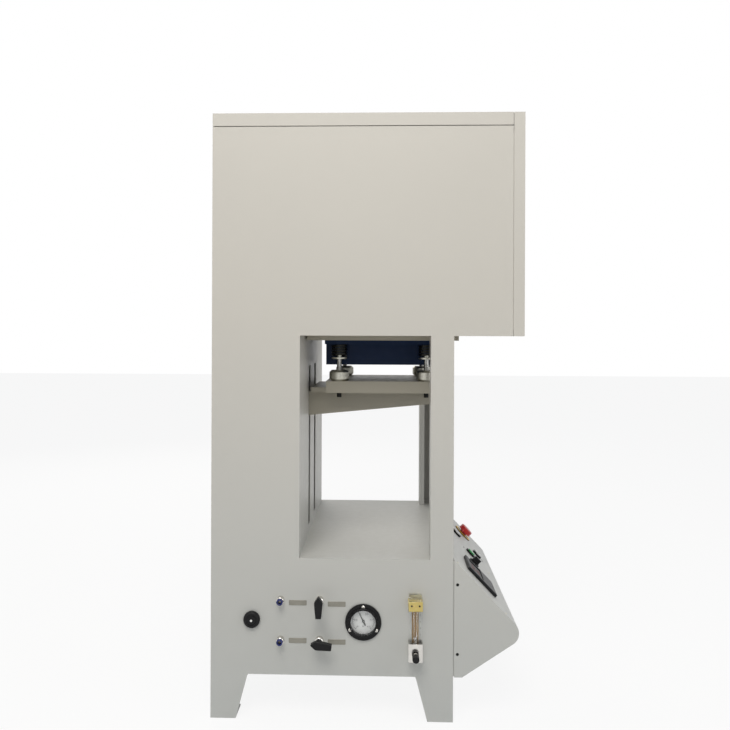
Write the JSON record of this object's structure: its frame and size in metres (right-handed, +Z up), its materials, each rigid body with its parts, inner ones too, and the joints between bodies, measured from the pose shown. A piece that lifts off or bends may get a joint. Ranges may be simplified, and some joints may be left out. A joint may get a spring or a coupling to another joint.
{
  "type": "elevator furnace",
  "caption": "Bottom-loading laboratory furnace: a screw lift carries a spring-floated hearth up into a chamber over an open bay, with a gas panel and a sloped console.",
  "frame": {"origin": "on the floor, under the centre of the bounding box, fittings on the gas panel included", "axes": "+Z up, +X towards the sloped operator console, -Y towards the gas panel"},
  "size_m": [0.742, 0.6504, 1.43],
  "materials": {
    "case_paint": "satin",
    "steel_sheet": "satin",
    "bright_steel": "polished",
    "hearth_paint": "satin",
    "lift_paint": "satin",
    "fibre": "matte",
    "alumina": "matte",
    "element": "satin",
    "seal_rubber": "matte",
    "spring_steel": "satin",
    "zinc_steel": "satin",
    "aluminium": "satin",
    "bronze": "satin",
    "motor_paint": "satin",
    "fan_black": "matte",
    "gland_black": "matte",
    "nickel": "satin",
    "collar_blue": "gloss",
    "handle_black": "satin",
    "gauge_black": "satin",
    "dial_white": "matte",
    "needle_black": "matte",
    "gauge_glass": "gloss",
    "flow_yellow": "satin",
    "flow_clear": "gloss",
    "console_paint": "satin",
    "controller_black": "satin",
    "button_green": "gloss",
    "button_white": "gloss",
    "stop_red": "gloss"
  },
  "bodies": {
    "root": {"feet": "case_paint", "base_tray": "case_paint", "gas_side_panel": "case_paint", "plain_side_panel": "case_paint", "rear_panel": "case_paint", "top_lid": "case_paint", "front_panel": "case_paint", "underside_plate": "case_paint", "bay_liner": "case_paint", "chamber_case": "steel_sheet", "chamber_fibre": "fibre", "heating_elements": "element", "element_holders": "alumina", "thermocouple": "alumina", "seal_flange": "lift_paint", "seal_ring": "seal_rubber", "lift_column": "steel_sheet", "guide_shafts": "bright_steel", "screw_bearings": "steel_sheet", "gear_motor": "motor_paint", "power_unit": "motor_paint", "fan_frame": "fan_black", "supply_gland": "gland_black", "gas_fittings": "nickel", "valve_bodies": "nickel", "gauge_case": "gauge_black", "gauge_dial": "dial_white", "gauge_glass": "gauge_glass", "flowmeter_top_block": "flow_yellow", "flowmeter_bottom_block": "nickel", "flowmeter_tube": "flow_clear", "console_housing": "console_paint", "console_face": "console_paint", "temperature_controller": "controller_black", "switch_bodies": "gauge_black"},
    "carriage": {"lift_bracket": "lift_paint", "lift_tray": "lift_paint", "linear_bearings": "aluminium", "lift_nut": "bronze", "spring_studs": "zinc_steel", "adjuster_nuts": "zinc_steel", "seal_springs": "spring_steel"},
    "hearth": {"hearth_box": "hearth_paint", "hearth_fibre": "fibre", "hearth_plate": "alumina"},
    "screw": {"lead_screw": "bright_steel", "motor_coupling": "aluminium"},
    "upper_valve_handle": {"upper_valve_handle": "handle_black"},
    "lower_valve_handle": {"lower_valve_handle": "handle_black"},
    "gauge_needle": {"gauge_needle": "needle_black"},
    "flow_float": {"flow_float": "bright_steel"},
    "flow_knob": {"flow_knob": "gland_black"},
    "fan_rotor": {"fan_rotor": "fan_black"},
    "upper_collar": {"upper_collar": "collar_blue"},
    "lower_collar": {"lower_collar": "collar_blue"},
    "power_switch": {"power_switch": "gland_black"},
    "heating_button": {"heating_button": "button_green"},
    "up_button": {"up_button": "button_white"},
    "down_button": {"down_button": "button_white"},
    "emergency_stop": {"emergency_stop": "stop_red"}
  },
  "joints": [
    {"name": "lift", "type": "slide", "parent": "root", "child": "carriage", "axis": [0, 0, 1], "range_m": [-0.2847, 0]},
    {"name": "hearth_float", "type": "slide", "parent": "carriage", "child": "hearth", "axis": [0, 0, 1], "range_m": [-0.005, 0], "stiffness_N_per_m": 40000, "springref_m": 0.006, "deforming": ["seal_springs"]},
    {"name": "screw_spin", "type": "hinge", "parent": "root", "child": "screw", "pos_m": [-0.247, 0.02515, 0.335], "axis": [0, 0, 1], "continuous": true},
    {"name": "upper_valve_turn", "type": "hinge", "parent": "root", "child": "upper_valve_handle", "pos_m": [-0.107, -0.29985, 0.282], "axis": [0, -1, 0], "range_deg": [0, 90]},
    {"name": "lower_valve_turn", "type": "hinge", "parent": "root", "child": "lower_valve_handle", "pos_m": [-0.107, -0.29985, 0.188], "axis": [0, -1, 0], "range_deg": [-82.5, 7.5]},
    {"name": "gauge_needle_turn", "type": "hinge", "parent": "root", "child": "gauge_needle", "pos_m": [-0.004, -0.27085, 0.232], "axis": [0, 1, 0], "range_deg": [-108, 162], "stiffness_Nm_per_rad": 0.0002},
    {"name": "flow_float_rise", "type": "slide", "parent": "root", "child": "flow_float", "axis": [0, 0, 1], "range_m": [0, 0.0624]},
    {"name": "flow_knob_turn", "type": "hinge", "parent": "root", "child": "flow_knob", "pos_m": [0.118, -0.31285, 0.166], "axis": [0, -1, 0], "range_deg": [0, 1440]},
    {"name": "fan_spin", "type": "hinge", "parent": "root", "child": "fan_rotor", "pos_m": [-0.347, 0.11515, 1.328], "axis": [1, 0, 0], "continuous": true},
    {"name": "upper_collar_press", "type": "slide", "parent": "root", "child": "upper_collar", "axis": [0, 1, 0], "range_m": [0, 0.0015], "stiffness_N_per_m": 400, "springref_m": -0.002},
    {"name": "lower_collar_press", "type": "slide", "parent": "root", "child": "lower_collar", "axis": [0, 1, 0], "range_m": [0, 0.0015], "stiffness_N_per_m": 400, "springref_m": -0.002},
    {"name": "power_switch_turn", "type": "hinge", "parent": "root", "child": "power_switch", "pos_m": [0.28063, -0.05985, 0.30539], "axis": [-0.7214, 0, -0.6925], "range_deg": [0, 90]},
    {"name": "heating_button_press", "type": "slide", "parent": "root", "child": "heating_button", "axis": [-0.7214, 0, -0.6925], "range_m": [0, 0.004], "stiffness_N_per_m": 500, "springref_m": -0.003},
    {"name": "up_button_press", "type": "slide", "parent": "root", "child": "up_button", "axis": [-0.7214, 0, -0.6925], "range_m": [0, 0.004], "stiffness_N_per_m": 500, "springref_m": -0.003},
    {"name": "down_button_press", "type": "slide", "parent": "root", "child": "down_button", "axis": [-0.7214, 0, -0.6925], "range_m": [0, 0.004], "stiffness_N_per_m": 500, "springref_m": -0.003},
    {"name": "emergency_stop_press", "type": "slide", "parent": "root", "child": "emergency_stop", "axis": [-0.7214, 0, -0.6925], "range_m": [0, 0.006]}
  ],
  "couplings": [
    {"joint": "screw_spin", "follows": "lift", "rad_per_m": -628.32}
  ]
}
